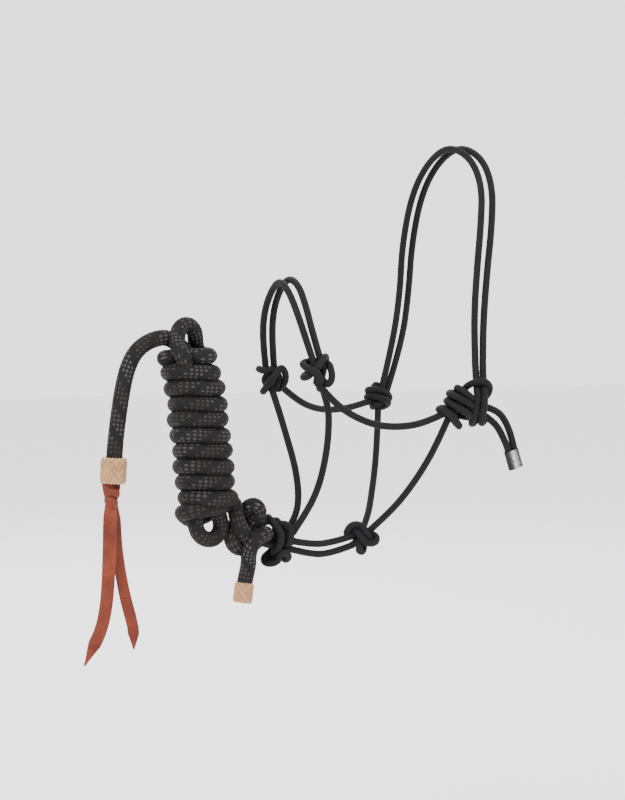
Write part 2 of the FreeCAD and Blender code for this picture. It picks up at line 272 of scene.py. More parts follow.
# painted shade: the braid's colour in the grooves between the strands
GROOVE_SHADE = (0.0012, 0.0012, 0.0014, 1)    # between the strands, in both ropes
BLACK = braid_material("braided_cord", GROOVE_SHADE, (0.014, 0.014, 0.0155, 1), 3)
ROPE = braid_material(
    "braided_lead", GROOVE_SHADE, (0.014, 0.0135, 0.0145, 1), 4,
    ((0.024, 0.0175, 0.015, 1), (0.047, 0.042, 0.0455, 1)), (0, 1, 2, 3, 6, 7, 8, 9))
RAWHIDE = rawhide_material()
LATIGO = leather_material("latigo", (0.060, 0.0068, 0.0012, 1), (0.150, 0.0215, 0.0050, 1),
                          (0.19, 0.046, 0.016, 1))
CUT_EDGE = leather_material("latigo_edge", (0.06, 0.016, 0.006, 1), (0.14, 0.05, 0.024, 1),
                            (0.20, 0.10, 0.06, 1))
NICKEL = metal_material()

floor_shader = Shader("pale_floor", Base_Color=(0.9, 0.9, 0.9, 1), Roughness=0.8)
floor_data = bpy.data.meshes.new("floor")
FLOOR_HALF = 9
FLOOR_DROP = 0.25                     # how far the floor lies below the hanging halter
floor_data.from_pydata([(x * FLOOR_HALF, y * FLOOR_HALF, CAD_BOX[0][2] - FLOOR_DROP)
                        for x, y in ((-1, -1), (1, -1), (1, 1), (-1, 1))],
                       [], [(0, 1, 2, 3)])
floor = link("floor", floor_data)
floor.data.materials.append(floor_shader.material)


# ---------------------------------------------------------------- cord making

def spline_line(points):
    """The line of a NURBS spline with these control points, in millimetres."""
    data = bpy.data.curves.new("route", "CURVE")
    data.dimensions = "3D"
    data.resolution_u = 12
    spline = data.splines.new("NURBS")
    spline.points.add(len(points) - 1)
    for knot, point in zip(spline.points, points):
        knot.co = (*[float(x) * MM for x in point], 1)
    spline.order_u = 3
    spline.use_endpoint_u = True
    holder = link("route", data)
    mesh = bpy.data.meshes.new_from_object(holder)
    line = np.array([v.co for v in mesh.vertices]) / MM
    bpy.data.objects.remove(holder)
    bpy.data.curves.remove(data)
    bpy.data.meshes.remove(mesh)
    return line


def resampled(line, step):
    """The same line with points evenly spaced, about step apart."""
    line = np.asarray(line, float)
    gaps = np.linalg.norm(np.diff(line, axis=0), axis=1)
    line = line[np.concatenate([[True], gaps > 1e-6])]
    along = np.concatenate([[0], np.cumsum(np.linalg.norm(np.diff(line, axis=0), axis=1))])
    count = max(3, int(round(along[-1] / step)) + 1)
    at = np.linspace(0, along[-1], count)
    return np.stack([np.interp(at, along, line[:, i]) for i in range(3)], 1), at


def tangents(line):
    """Unit vectors along the line, one at each point."""
    ahead = np.gradient(line, axis=0)
    return ahead / np.linalg.norm(ahead, axis=1)[:, None]


def frames(line):
    """Two unit normals at each point, carried along the line without twist."""
    tangent = tangents(line)
    side = np.cross(tangent[0], (0.31, 0.52, 0.79))
    sides = []
    for t in tangent:
        side = side - t * (side @ t)
        side /= np.linalg.norm(side)
        sides.append(side)
    sides = np.array(sides)
    return sides, np.cross(tangent, sides)


def round_angles(count):
    return np.linspace(0, 2 * math.pi, count + 1)[:-1]


def braid_lift(u, v):
    """Height of the braid's surface, from 0 between strands to 1 on a strand's crown."""
    over = (np.floor(u) + np.floor(v)) % 2
    fu, fv = u % 1 - 0.5, v % 1 - 0.5
    across = np.where(over > 0.5, fv, fu)
    along = np.where(over > 0.5, fu, fv)
    return np.cos(np.pi * across) * (0.55 + 0.45 * np.cos(np.pi * along))


def skin(name, rings, uv, material, closed_ends=(True, True)):
    """A tube mesh through rings of points (count, around, 3), with a UV for each corner."""
    count, around = rings.shape[:2]
    points = rings.reshape(-1, 3)
    i = np.arange(count - 1)[:, None]
    j = np.arange(around)[None, :]
    k = (j + 1) % around
    quads = np.stack([i * around + j, i * around + k,
                      (i + 1) * around + k, (i + 1) * around + j], -1).reshape(-1, 4)
    corner = np.stack([uv[:-1, :-1], uv[:-1, 1:], uv[1:, 1:], uv[1:, :-1]], 2).reshape(-1, 2)
    faces = [tuple(q) for q in quads.tolist()]
    extra = 0
    if closed_ends[0]:
        faces.append(tuple(range(around - 1, -1, -1)))
        extra += around
    if closed_ends[1]:
        faces.append(tuple(range((count - 1) * around, count * around)))
        extra += around
    mesh = bpy.data.meshes.new(name)
    mesh.from_pydata((points * MM).tolist(), [], faces)
    layer = mesh.uv_layers.new(name="UVMap")
    layer.data.foreach_set(
        "uv", np.concatenate([corner, np.zeros((extra, 2))]).astype(np.float32).ravel())
    mesh.polygons.foreach_set("use_smooth", [True] * len(mesh.polygons))
    mesh.materials.append(material)
    mesh.update()
    return link(name, mesh)


BRAID_MEAN = 0.72     # the braid's height that lies at the rope's own diameter
END_ROUND = 0.16      # how far back an end is rounded, in diameters
END_SIZE = 0.72       # and the size of the end face, as a share of the rope


def rope(name, line, diameter, strands, around, step, material, relief, pitch):
    """A braided rope round a line: strands of each family, and the relief that they stand proud."""
    line, along = resampled(line, step)
    side, other = frames(line)
    angle = np.linspace(0, 2 * math.pi, around + 1)
    cell = math.pi * diameter / strands * pitch
    turns = strands * angle[None, :] / (2 * math.pi)
    rows = along[:, None] / cell
    u, v = turns + rows, turns - rows
    height = braid_lift(u[:, :-1], v[:, :-1])
    radius = diameter / 2 + relief * (height - BRAID_MEAN)
    dome = np.clip(np.minimum(along, along[-1] - along) / (diameter * END_ROUND), 0, 1)
    radius *= np.maximum(np.sqrt(1 - (1 - dome) ** 2), END_SIZE)[:, None]
    turned = angle[None, :-1]
    rings = (line[:, None] + radius[..., None] * (
        np.cos(turned)[..., None] * side[:, None] + np.sin(turned)[..., None] * other[:, None]))
    piece = skin(name, rings, np.stack([u, v], -1), material)
    return piece, line


def ride(piece, body, slot, *nodes):
    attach(piece, body)
    if nodes:
        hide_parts(*nodes)
    return piece


# ---------------------------------------------------------------- lead rope, and its knot and hank

STUB = [(-215, 0, -406), (-213, 0, -391), (-209, 0, -376)]
LEAD_KNOT = [
    (-210, -3, -364), (-209, -8, -356), (-204, -11, -349), (-197, -9, -347), (-191.5, 0, -348),
    (-194, 8, -353), (-200, 11, -358), (-207, 11, -361), (-216, 5, -361), (-224, 0, -356),
    (-226, 0, -349), (-221, 5, -341), (-213, 9, -334), (-210, 3, -325), (-207, -4, -321),
    (-202, -5, -323), (-200, -4, -330), (-203, 0, -337), (-204, 5, -344), (-208, 0, -352),
    (-216, -6, -346), (-222, -7, -337), (-223, -4, -328), (-221, 3, -320)]

HANK_MIDDLE = np.array([-259, 0, -258])
HANK_TILT = math.radians(-7.2)
HANK_RIGHT = np.array([math.cos(HANK_TILT), 0, -math.sin(HANK_TILT)])
HANK_AXIS = np.array([math.sin(HANK_TILT), 0, math.cos(HANK_TILT)])
WRAPS = 11
WRAP_PITCH = 14.0
WRAP_WIDE, WRAP_DEEP = 20.2, 16.35   # half sizes of a wrap's middle line
WRAP_POINTS = 16                      # control points in a turn
FLATTEN = 0.77                        # 1 gives ellipses, less gives rounder-cornered boxes
WRAP_SKEW = 0.2                       # the wraps lie flatter than square to the hank
WRAP_SHIFT = 3.6                      # all but the top wrap lie this far to the right
WRAP_LIFT = 1.6                       # the wraps' middle, above the hank's

# From the knot, behind the right end of the lowest wraps.
HANK_ENTRY = [(31, -12, -67), (24, -17.5, -66), (9, -17.3, -74), (-9, -16, -77)]
# Off the top wrap, over the top fold, down the core, round the bottom fold and up again.
TOP_WRAP = [(-19.4, -5, 71.5), (-19.5, 0, 72.3), (-15, 1.5, 72.5), (-8, 1.5, 72.3),
            (-1, 5, 71.5), (7, 12.5, 70.5), (15, 13, 69.5), (20.3, 4, 69), (20, -7, 69.5)]
TOP_FOLD = [(15.5, -13.5, 73), (13, -8, 82), (11.5, -3, 91), (7, 0, 97.5), (1, 1, 99.5),
            (-5.5, 2.5, 96), (-9.5, 5, 88), (-11.5, 11, 80), (-10, 16.5, 73), (-7.5, 13.5, 65),
            (-5, 5, 57)]
CORE_DOWN = [(-4, -2, 46), (-3, -3.5, 25), (-2.5, -3.5, 0), (-2.5, -3.5, -25),
             (-5, -2, -50), (-9.5, 1, -66)]
BOTTOM_FOLD = [(-13, 3, -77), (-10, 3, -88), (-2, 2, -93.5), (6.5, 1, -93), (13, 0, -86),
               (13, 0, -76)]
CORE_UP = [(9.5, 2, -62), (8.5, 3.5, -45), (8.5, 3.5, -22), (8.5, 3.5, 2), (7.5, 3.5, 26),
           (5.5, 3, 50), (3, 0, 68)]
TOP_EXIT = [(-1, -6, 79), (-8, -8, 86)]
TAIL = [(-289, 0, -170), (-303, 0, -173), (-316, 0, -182), (-324, 0, -197),
        (-329, 0, -218), (-333, 0, -244), (-336, 0, -268), (-337, 0, -290)]


def in_hank(points):
    return [HANK_MIDDLE + HANK_RIGHT * a + np.array([0, -1, 0]) * b + HANK_AXIS * c
            for a, b, c in points]


def wrap_turns():
    """The wraps' control points, from the lowest wrap's left end up to the top wrap's."""
    points = []
    for index in range(-5, (WRAPS - 1) * WRAP_POINTS - 4):
        phase = 2 * math.pi * index / WRAP_POINTS
        sine, cosine = math.sin(phase), math.cos(phase)
        turn = index / WRAP_POINTS
        loose = 0.55 * math.sin(2.4 * turn + 0.8) + 0.35 * math.sin(5.3 * turn)
        a = (WRAP_WIDE + loose) * math.copysign(abs(sine) ** FLATTEN, sine)
        b = (WRAP_DEEP + 0.4 * loose) * math.copysign(abs(cosine) ** FLATTEN, cosine)
        a += 0.9 * math.sin(1.9 * round(turn) + 0.5)
        a += WRAP_SHIFT * min(1, WRAPS - 1 - turn)
        climb = WRAP_PITCH * (turn - sine / (2 * math.pi))    # level in front, it climbs behind
        c = WRAP_LIFT - WRAP_PITCH * (WRAPS - 1) / 2 + climb + 0.5 * math.sin(3.1 * turn + 1.0)
        if turn < 0.5:                # the lowest wrap: its right end is tucked behind the next
            tuck = min(1, max(0, (turn + 0.2) / 0.3)) * min(1, (0.5 - turn) / 0.1)
            a, b, c = a - 5 - tuck, b - 8 * tuck, c + 5 * tuck
        c -= WRAP_SKEW * a
        points.append((a, b, c))
    return points


lead_route = STUB + LEAD_KNOT + in_hank(
    HANK_ENTRY + wrap_turns() + TOP_WRAP + TOP_FOLD + CORE_DOWN + BOTTOM_FOLD + CORE_UP
    + TOP_EXIT) + TAIL
lead_line = spline_line(lead_route)
lead_rope, lead_path = rope("lead_rope", lead_line, LEAD, LEAD_STRANDS, 48, 1.25, ROPE, 0.8, 1.05)


# ---------------------------------------------------------------- halter cords

ROUTES = {
    "crown_front_cord": [
        (-34, 83, -224), (-23, 81, -180), (-18, 76, -132), (-20, 68, -88), (-18, 52, -39),
        (-13, 27, -9), (-6, 0, 4), (2, -28, -9), (1, -50, -36), (-8, -64, -70),
        (-16, -72, -107), (-23, -79, -152), (-25, -85, -196), (-25, -87, -209), (-27, -92, -217)],
    "crown_rear_cord": [
        (-28, 84, -227), (-13, 81, -180), (-8, 77, -130), (-9, 69, -86), (-8, 52, -40),
        (-3, 28, -10), (4, -1, 4), (12, -30, -8), (11, -52, -36), (2, -66, -73),
        (-7, -74, -112), (-14, -80, -156), (-19, -88, -196), (-19, -89, -209), (-21, -95, -217)],
    "noseband_front_cord": [
        (-170, 50, -199), (-175, 46, -172), (-177, 36, -147), (-177, 20, -129),
        (-177, 2, -120), (-177, -17, -130), (-176, -33, -149), (-173, -44, -171),
        (-167, -49, -194)],
    "noseband_rear_cord": [
        (-162, 49, -199), (-166, 45, -171), (-168, 36, -147), (-169, 20, -129),
        (-169, 1, -118), (-168, -18, -124), (-168, -34, -143), (-166, -44, -167),
        (-159, -49, -196)],
    "near_cheek_cord": [
        (-165, -52, -211), (-153, -58, -227), (-137, -65, -240), (-116, -73, -249),
        (-91, -79, -250), (-70, -83, -245), (-55, -85, -238)],
    "off_cheek_cord": [
        (-159, 50, -214), (-140, 55, -229), (-117, 61, -240), (-90, 70, -243),
        (-64, 78, -240), (-44, 83, -235)],
    "near_chin_cord": [
        (-160, -47, -211), (-149, -41, -231), (-145, -33, -255), (-144, -24, -281),
        (-147, -15, -308), (-155, -7, -330), (-165, -4, -345)],
    "off_chin_cord": [
        (-167, 48, -214), (-162, 40, -237), (-158, 29, -264), (-154, 19, -291),
        (-154, 11, -316), (-160, 5, -335), (-170, 4, -348)],
    "near_throat_cord": [
        (-51, -83, -243), (-57, -70, -270), (-65, -51, -298), (-73, -33, -320),
        (-82, -17, -337), (-92, -6, -350)],
    "off_throat_cord": [
        (-37, 84, -238), (-45, 70, -268), (-57, 51, -298), (-70, 32, -320),
        (-82, 15, -338), (-93, 5, -350)],
    "jaw_upper_cord": [
        (-165, -1, -356), (-147, -1, -360), (-125, 0, -359), (-105, 0, -354)],
    "jaw_lower_cord": [
        (-168, 1, -363), (-151, 1, -368), (-130, 0, -370), (-107, 0, -363)],
    "chin_loop": [
        (-182, 3, -337), (-200, 0, -336), (-200, 0, -359), (-180, 0, -359)],
    "tie_loop": [
        (-36, -80, -222), (-35, -83, -217), (-33, -89, -213), (-29, -96, -210),
        (-22, -98, -210), (-15, -95, -215), (-14, -89, -223), (-18, -84, -228)],
    "upper_crown_tail": [
        (-14, -87, -234), (-4, -87, -237), (4, -87, -245), (10.2, -87, -257.5),
        (14.2, -87, -272), (18.8, -87, -286.3)],
    "lower_crown_tail": [
        (-14, -87, -243), (-6, -87, -248), (1.4, -87, -258.5), (8.4, -87, -273.3),
        (13.0, -87, -288.3)],
}


def halter_rope(name, line):
    return rope(name, line, CORD, CORD_STRANDS, 24, 0.8, BLACK, 0.42, 1.15)


SPANS = {}
for cord_name, points in ROUTES.items():
    piece, SPANS[cord_name] = halter_rope(cord_name + "_rope", spline_line(points))
    ride(piece, "crown_tails" if cord_name.endswith("crown_tail") else "halter", "halter_cord",
         cord_name)


# ---------------------------------------------------------------- halter knots

PRESSED = 0.93 * CORD                  # between the middles of two cords that press together
LEAD_CLEAR = 0.96 * (LEAD + CORD) / 2  # and of a cord and the lead
KNOT_REACH = 5 * CORD                  # how far from a knot's middle a cord still matters to it
SWIVEL = np.array([-200, 0, -347.5])   # the lead knot turns about the upright through here
SWIVEL_LIMIT = 60
SWIVEL_REACH = 45                      # the lead's rope within this distance is its knot


def span_end(name, last):
    """A span's end point and the unit direction in which it leaves the knot."""
    line = SPANS[name]
    ends = (line[-1], line[-8]) if last else (line[0], line[7])
    away = ends[1] - ends[0]
    return ends[0], away / np.linalg.norm(away)


def through(points, steps=5):
    """More points, on a smooth line that passes through every one given."""
    points = np.array(points, float)
    padded = np.concatenate([2 * points[:1] - points[1:2], points, 2 * points[-1:] - points[-2:-1]])
    fine = []
    for a, b, c, d in zip(padded, padded[1:], padded[2:], padded[3:]):
        for t in np.arange(steps) / steps:
            fine.append(b + 0.5 * t * (c - a + t * (2 * a - 5 * b + 4 * c - d
                                                    + t * (3 * (b - c) + d - a))))
    return np.array(fine + [points[-1]])


def settled(strands, loose, keep_off):
    """Lets strands of cord push each other apart until they lie against one another, each
    still bent as it was laid: what is smoothed is how far every point has been pushed."""
    step, rounds = 1.6, 120
    own_reach = 1.5 * CORD            # a strand doesn't push points of its own nearer than this
    pushed, evened, drawn_home = 0.8, 0.35, 0.01
    lines = [resampled(through(points), step)[0] for points in strands]
    spans = np.cumsum([0] + [len(line) for line in lines])
    home = np.concatenate(lines)
    shift = np.zeros_like(home)
    number = np.arange(len(home))
    strand = np.searchsorted(spans, number, side="right") - 1
    ends = np.concatenate([spans[:-1], spans[1:] - 1])
    fixed = np.zeros(len(home), bool)
    for first, last, moves in zip(spans, spans[1:], loose):
        if moves:
            fixed[first:first + 2] = True
            fixed[last - 2:last] = True
    moving = np.array(loose)[strand]
    apart = moving[:, None] & moving[None, :] & (
        (strand[:, None] != strand[None, :]) | (
        np.abs(number[:, None] - number[None, :]) * step > own_reach))

    def push(points, others, allowed, share, near):
        away = points[:, None] - others[None, :]
        gap = np.linalg.norm(away, axis=2) + 1e-6
        size = np.where(allowed & (gap < near), (near - gap) * share, 0)
        total = (away / gap[..., None] * size[..., None]).sum(1)
        return total / np.maximum((size > 0).sum(1), 1)[:, None]

    for _ in range(rounds):
        points = home + shift
        move = push(points, points, apart, 0.5, PRESSED)
        for others, near in keep_off:
            move += push(points, others, True, 0.8, near)
        smooth = np.zeros_like(shift)
        smooth[1:-1] = (shift[:-2] + shift[2:]) / 2 - shift[1:-1]
        smooth[ends] = 0
        change = pushed * move + evened * smooth - drawn_home * shift
        change[fixed] = 0
        shift = shift + change
    return [(home + shift)[first:last] for first, last in zip(spans, spans[1:])]


def lead_sweep():
    """Where the lead knot's rope passes as it swivels in the chin loop from limit to limit."""
    line = lead_path - SWIVEL
    line = line[np.linalg.norm(line, axis=1) < SWIVEL_REACH][::3]
    places = []
    for turn in np.radians(np.linspace(-SWIVEL_LIMIT, SWIVEL_LIMIT, 9)):
        cosine, sine = math.cos(turn), math.sin(turn)
        places.append(SWIVEL + np.stack([line[:, 0] * cosine - line[:, 1] * sine,
                                         line[:, 0] * sine + line[:, 1] * cosine, line[:, 2]], 1))
    return np.concatenate(places)


def knot(name, middle, strands):
    """Strands from one span's end to another's, their bends given round the knot's middle
    in cord diameters: to the right, up and towards the near side's front."""
    middle = np.array(middle, float)
    routes, joined = [], []
    for start, bends, end in strands:
        route = [middle + CORD * (r * RIGHT + u * UP + n * NEAR) for r, u, n in bends]
        for who, at_end in ((start, False), (end, True)):
            if who is None:
                continue
            point, away = span_end(*who)
            joined.append(who)
            lead_in = [point + away * 1.5, point - away * 2.5]
            route = route + lead_in[::-1] if at_end else lead_in + route
        routes.append(route)
    held = set(name for name, _ in joined)
    keep_off = []
    for span, line in SPANS.items():
        if span not in held and span.endswith(("loop", "cord")):
            beside = np.linalg.norm(line - middle, axis=1) < KNOT_REACH
            keep_off.append((line[beside][::2], PRESSED))
    if name == "chin_knot":
        keep_off.append((lead_sweep(), LEAD_CLEAR))
    loose = [start is not None or end is not None for start, _, end in strands]
    for index, line in enumerate(settled(routes, loose, keep_off)):
        piece, _ = halter_rope("%s_strand_%d" % (name, index + 1), spline_line(line))
        ride(piece, "halter", "halter_cord", *([name] if not index else []))


knot("crown_hitch", (-24, -88, -234), [
    (('crown_front_cord', True),
     [(-0.09, 1.36, 1.3), (-0.3, -0.05, 1.5), (-0.58, -1.33, 1.3), (-0.87, -2.18, 0.4),
      (-0.37, -2.03, -0.5), (0.48, -0.76, -0.9), (1.04, 0.09, -0.5)],
     ('upper_crown_tail', False)),
    (('crown_rear_cord', True),
     [(0.9, 1.36, 1.3), (0.8, -0.05, 1.5), (0.59, -1.33, 1.2), (0.48, -2.11, 0.4),
      (0.9, -1.89, -0.4)],
     ('lower_crown_tail', False)),
    (None,
     [(0.34, 3.34, 0.2), (0.38, 2.21, 0.4), (0.34, 0.79, 0.4), (0.12, -0.48, 0.3)],
     None)])

knot("near_nose_knot", (-163, -49, -203), [
    (('noseband_front_cord', True),
     [(-0.3, 0.28, -0.5), (0.54, -1.13, -0.2), (1.32, -1.46, 0.4), (1.82, -0.49, 0.3),
      (1.39, 0.85, 0), (0.12, 1.63, -0.7), (-1.29, 1.7, -0.9), (-2.07, 1.42, -0.1),
      (-1.58, 0.85, 0.9), (-0.3, 0.28, 1.4), (0.4, -0.99, 1)],
     ('near_cheek_cord', False)),
    (('noseband_rear_cord', True),
     [(-1.29, 0.14, -1), (-2.07, -0.42, -0.2), (-1.44, -0.28, 0.8), (-0.45, 0.85, 0.9),
      (0.54, 1.88, 0.4), (0.69, 1.56, -0.8), (0.54, 0.14, -1.2), (0.4, -1.13, -1),
      (0.26, -1.84, -0.6)],
     ('near_chin_cord', False)),
    (None,
     [(-1.29, 0.99, -0.3), (-0.45, 0.71, -0.3), (-0.16, -0.42, -0.2), (0.26, -1.41, -0.2)],
     None)])

knot("off_nose_knot", (-165, 49, -207), [
    (('noseband_front_cord', False),
     [(-0.7, 0.62, -0.6), (0.01, -0.51, -1.1), (1.14, -1.64, -0.6), (1.99, -0.93, 0.2),
      (2.06, 0.2, 0.7), (1.42, 0.91, 1.2), (0.43, -0.37, 1.5), (-0.49, -1.64, 1.1),
      (-1.05, -2.35, 0.3), (-0.56, -1.78, -0.8), (0.58, -0.93, -1.3)],
     ('off_cheek_cord', False)),
    (('noseband_rear_cord', False),
     [(0.43, 0.77, -0.6), (-0.7, 0.34, -1.2), (-1.55, 0.72, -0.4), (-1.4, 0.77, 0.5),
      (-0.41, 0.48, 1), (0.43, 0.41, 0.7), (1, -0.22, 0.3), (0.58, -1.21, 0.1),
      (-0.41, -1.36, -0.2), (-0.84, -0.65, -0.4), (-0.27, -0.22, 0), (0.15, -1.36, 0.6)],
     ('off_chin_cord', False)),
    (None,
     [(-0.13, 0.91, -0.2), (0.86, 0.34, 0), (1.14, -0.65, 0), (0.72, -1.5, -0.1)],
     None)])

knot("near_cheek_knot", (-51, -85, -232), [
    (('near_cheek_cord', True),
     [(-0.48, -0.72, -0.3), (0.65, 0.41, -0.5), (1.22, 1.97, -0.5), (1.08, 2.49, 0.1),
      (1.79, 2.11, 0.9), (2.63, 1.47, 0.8), (3.27, 0.84, 0), (2.21, 0.84, -1.2), (0.65, 1.83, -1),
      (0.02, 1.69, -0.1), (0.8, 1.33, 0.9), (1.93, 0.72, 1), (2.92, 0.13, 0.5),
      (3.34, -0.37, -0.3), (1.93, -0.15, -1.2), (0.37, 0.77, -1), (-0.27, 0.55, 0),
      (0.51, 0.13, 0.9), (1.64, -0.51, 1), (2.63, -1.14, 0.4), (2.92, -1.57, -0.3),
      (1.36, -1.29, -1.1), (-0.48, -0.44, -0.8), (-1.23, -0.72, 0), (-0.48, -0.93, 0.8),
      (0.37, -1.36, 0.9), (0.94, -2.2, 0.6), (1.36, -2.84, 0.1)],
     ('near_throat_cord', False)),
    (('tie_loop', False),
     [(1.36, 1.12, 0), (0.94, 0.13, 0.1), (0.8, -0.86, 0)],
     None),
    (None,
     [(1.64, 1.26, -0.4), (2.35, 0.41, -0.4), (2.35, -0.86, -0.4)],
     None),
    (None,
     [(-0.19, 0.27, -0.4), (0.37, -0.37, -0.4), (1.08, -1.14, -0.4)],
     None),
    (None,
     [(2.78, 0.27, -0.4), (3.06, -0.72, -0.4), (2.92, -1.43, -0.4)],
     None)])

knot("off_cheek_knot", (-38, 84, -231), [
    (('crown_front_cord', False),
     [(0.52, 0.68, -0.2), (-0.75, -0.03, -0.8), (-1.33, -0.03, -0.1), (-1.14, 0.6, 0.6),
      (-0.05, 0.85, 1), (1.09, 0.6, 0.6), (1.51, 0.18, -0.2), (0.52, -0.31, -1),
      (-0.75, -0.46, -0.5), (-1.25, -0.46, 0.3), (-0.33, -0.31, 1.1), (0.66, -0.6, 1),
      (1.41, -1.09, 0.2), (0.66, -1.38, -0.6), (-0.47, -0.88, -0.9)],
     ('off_cheek_cord', True)),
    (('crown_rear_cord', False),
     [(0.94, 0.68, -0.3), (0.52, -0.17, -0.9), (-0.47, -0.88, -0.7), (-0.82, -1.21, 0),
      (-0.47, -1.09, 0.6), (0.38, -0.6, 0.2), (0.52, 0.68, -0.6), (-0.05, 1.34, -0.1),
      (-0.4, 1.1, 0.3), (-0.19, 0.11, 0.2), (0.24, -0.88, 0.3)],
     ('off_throat_cord', False))])

knot("throat_knot", (-99, 0, -355), [
    (('jaw_upper_cord', True),
     [(-1.29, 0.08, 0.4), (-1.29, 0.85, 0.6), (-0.66, 1.49, 0.7), (0.19, 1.63, 0.7),
      (1.11, 1.07, 0.6), (1.61, 0.08, 0.4), (2.03, -0.56, -0.1), (1.47, -0.77, -0.8),
      (0.48, 0.08, -1), (0.76, 1.21, -0.6)],
     ('off_throat_cord', True)),
    (('jaw_lower_cord', True),
     [(-1.22, -1.27, 0.3), (-0.37, -0.91, 0.6), (0.05, -1.27, 1.1), (-0.02, -1.9, 0.8),
      (0.55, -2.12, 0.2), (0.83, -1.34, -0.4), (0.19, -0.21, -0.9), (-0.8, 0.29, -0.3),
      (-0.51, 0.64, 0.6), (0.33, 0.22, 1.2), (1.11, -0.63, 1.1), (1.96, -0.63, 0.5),
      (2.17, 0.01, -0.2)],
     ('near_throat_cord', True)),
    (None,
     [(-0.8, -0.35, -0.1), (0.05, -0.63, 0), (0.9, -1.05, -0.1)],
     None)])

knot("chin_knot", (-171, 0, -350), [
    (('near_chin_cord', True),
     [(0.42, -0.03, -0.2), (-0.57, -1.16, -0.7), (-1.99, -2.15, -0.6), (-3.12, -3, -0.1),
      (-3.19, -3.78, 0.5), (-2.27, -3.99, 0.9), (-1.35, -3.57, 0.9), (-1, -2.65, 1.1),
      (-0.29, -2.37, 1.1), (0.2, -2.93, 0.5), (-0.29, -3.36, -0.2), (-0.86, -2.44, -0.8)],
     ('jaw_upper_cord', False)),
    (('off_chin_cord', True),
     [(-1, 0.68, -1.3), (-1.99, 1.52, -1), (-2.27, 2.12, -0.2), (-1.99, 2.09, 0.7),
      (-1.28, 1.1, 1.3), (-0.79, 0.25, 1.7), (-0.86, -0.74, 1.5), (-1.28, -1.59, 1),
      (-1.85, -2.44, 0.5), (-1.14, -3.21, -0.2), (-0.43, -2.44, -0.6)],
     ('jaw_lower_cord', False)),
    (('chin_loop', False),
     [(-1, 1.59, 0.6), (-0.15, 1.52, 0.9), (0.53, 0.82, 0.9), (0.59, -0.17, 0.9),
      (0.2, -1.16, 0.6), (-0.57, -1.73, 0.1)],
     ('chin_loop', True)),
    (None,
     [(-1.63, 1.38, -0.3), (-1.71, -0.03, -0.2), (-1.71, -1.45, -0.2), (-1.71, -2.29, -0.3)],
     None),
    (None,
     [(-0.57, 1.52, -0.2), (-0.15, 0.82, -0.1), (-0.15, -0.6, 0), (-0.43, -2.01, 0)],
     None),
    (None,
     [(-2.34, 0.53, -0.5), (-2.34, -0.88, -0.4), (-2.31, -2.15, -0.4), (-2.27, -3.28, -0.4)],
     None),
    (None,
     [(-3.12, -3.14, -0.3), (-2.7, -3.57, 0), (-2.13, -3.57, 0), (-1.42, -3.14, -0.2)],
     None)])


# ---------------------------------------------------------------- rawhide wraps

def lofted(name, sections, material, closed_ends=(True, True)):
    """A closed loft: each section is a ring of points, in millimetres."""
    rings = np.array(sections, float)
    count, around = rings.shape[:2]
    u, v = np.meshgrid(np.linspace(0, 1, around + 1), np.linspace(0, 1, count))
    return skin(name, rings, np.stack([u, v], -1), material, closed_ends)


def lacing(name, middle, axis, radius, length, laces, body, node):
    """A sleeve of rawhide laces, over and under, its scalloped rims turned in to the rope."""
    axis = np.array(axis, float) / np.linalg.norm(axis)
    side = np.cross(axis, (0.2, 1, 0.1))
    side /= np.linalg.norm(side)
    other = np.cross(axis, side)
    angle = round_angles(120)
    spokes = np.cos(angle)[:, None] * side + np.sin(angle)[:, None] * other
    lace_thick, rim_drop, rim_inset = 0.75, 1.5, 0.9
    scallop = 0.35 * np.cos(2 * laces * angle)
    per_turn = laces / (2 * math.pi)
    outer = []
    for row in np.linspace(-1, 1, 61):
        along = row * (length / 2) + scallop * row ** 3
        u, v = per_turn * (angle + along / radius), per_turn * (angle - along / radius)
        lift = np.clip(braid_lift(u, v) * 1.5, 0, 1) ** 0.7
        away = radius - lace_thick * (1 - lift) - rim_drop * abs(row) ** 9
        outer.append(np.array(middle) + along[:, None] * axis + away[:, None] * spokes)
    bore = LEAD / 2 - 0.6
    inner = [np.array(middle) + end * (length / 2 - rim_inset) * axis + bore * spokes
             for end in (1, 0, -1)]
    piece = lofted(name, [inner[-1]] + outer + [inner[0]], RAWHIDE, (False, False))
    return ride(piece, body, "rawhide", node)


tail_wrap = lacing("tail_rawhide_lacing", (-337, 0, -286), (0.06, 0, 1), 11.6, 22.5, 10,
                   "lead_tail", "tail_rawhide_wrap")
stub_wrap = lacing("stub_rawhide_lacing", (-214, 0, -400), (0.13, 0, 1), 8.9, 18, 8,
                   "lead", "stub_rawhide_wrap")


# ---------------------------------------------------------------- popper

EDGE_ROUND = 0.9             # of a strap's long edges, where it is thick enough
FACE_STEPS = 6               # faces across each of its broad sides
CUT_FACING = 0.75            # a face that looks across the strap by this much is its cut edge


